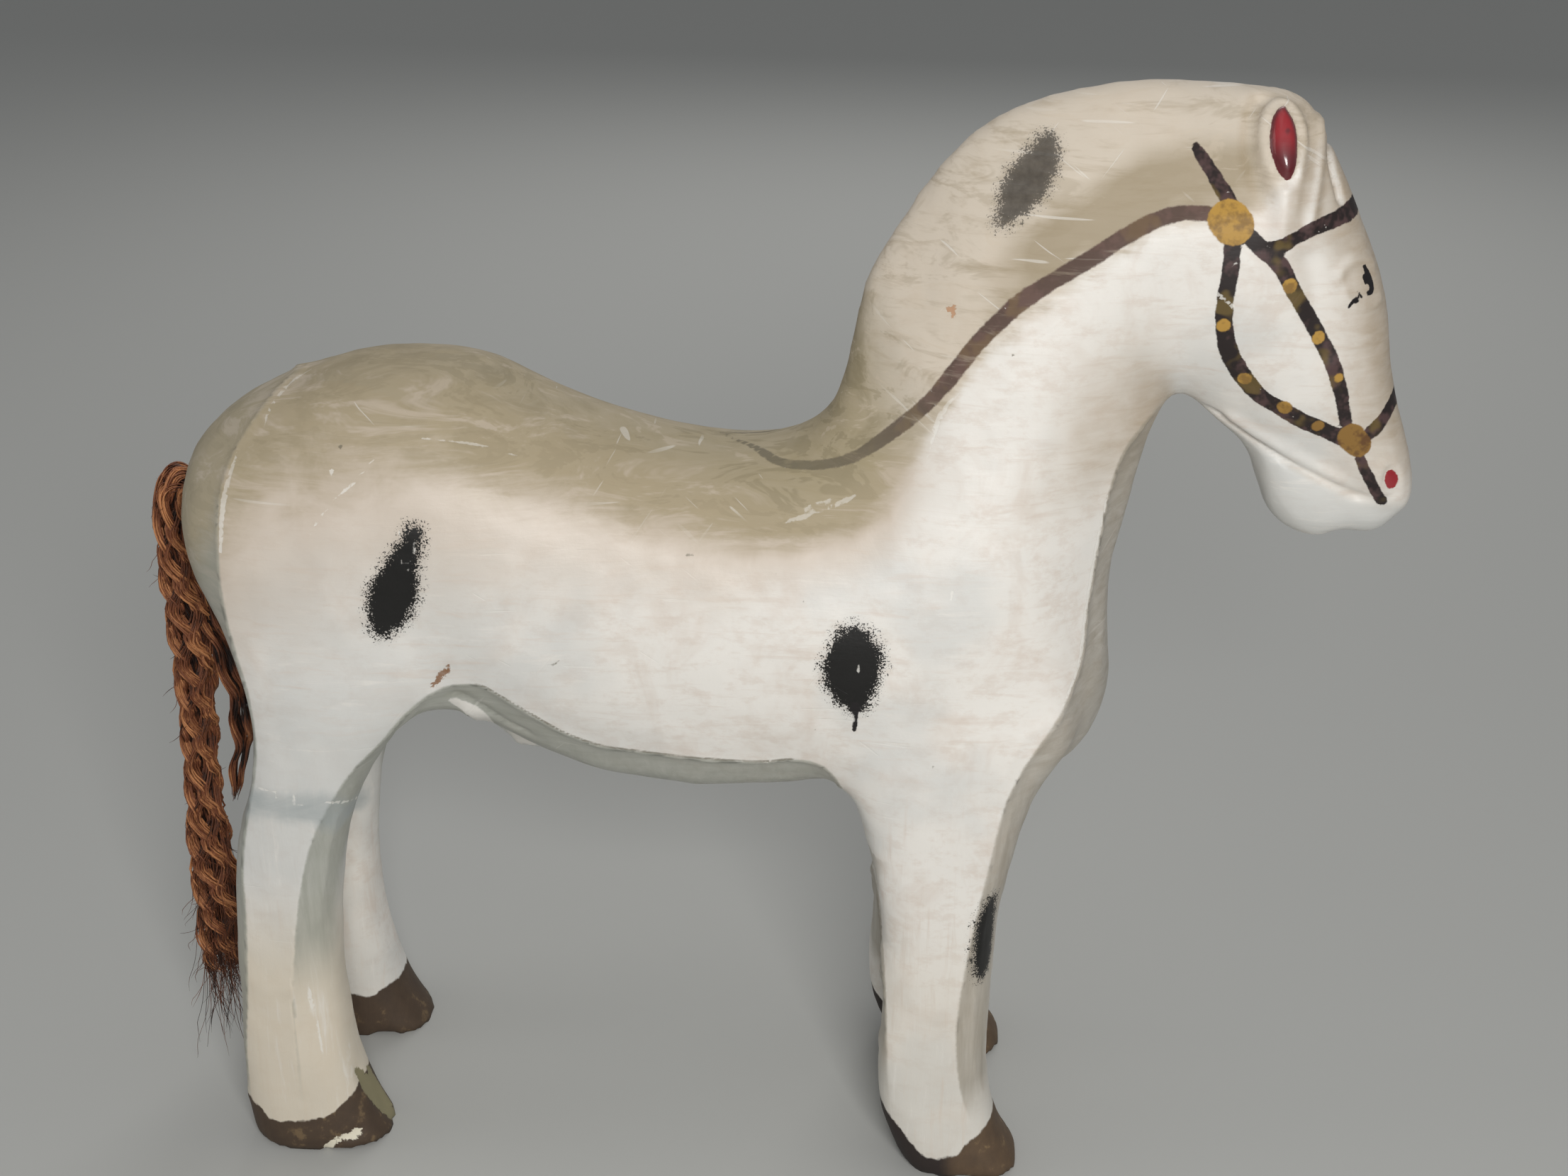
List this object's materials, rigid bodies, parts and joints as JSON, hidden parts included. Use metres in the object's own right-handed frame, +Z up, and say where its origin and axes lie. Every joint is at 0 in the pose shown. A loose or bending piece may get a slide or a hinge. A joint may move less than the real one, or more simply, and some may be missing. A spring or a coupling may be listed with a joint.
{
  "type": "chalkware horse figure",
  "caption": "Standing horse statue cast in painted plaster, with an arched neck, a short mane and a hank of crimped fibre for a tail. It stands on its own hooves.",
  "frame": {"origin": "on the floor, in the middle of the figure's length and of its width", "axes": "+Z up, +X towards the head, -Y towards the horse's right side"},
  "size_m": [0.6852, 0.1738, 0.61],
  "materials": {
    "painted_plaster": "glossy off-white oil paint on plaster, dusty and scratched",
    "tail_fibre": "red-brown crimped fibre, matt"
  },
  "bodies": {
    "root": {"horse_body": "painted_plaster", "tail": "tail_fibre"}
  },
  "joints": []
}
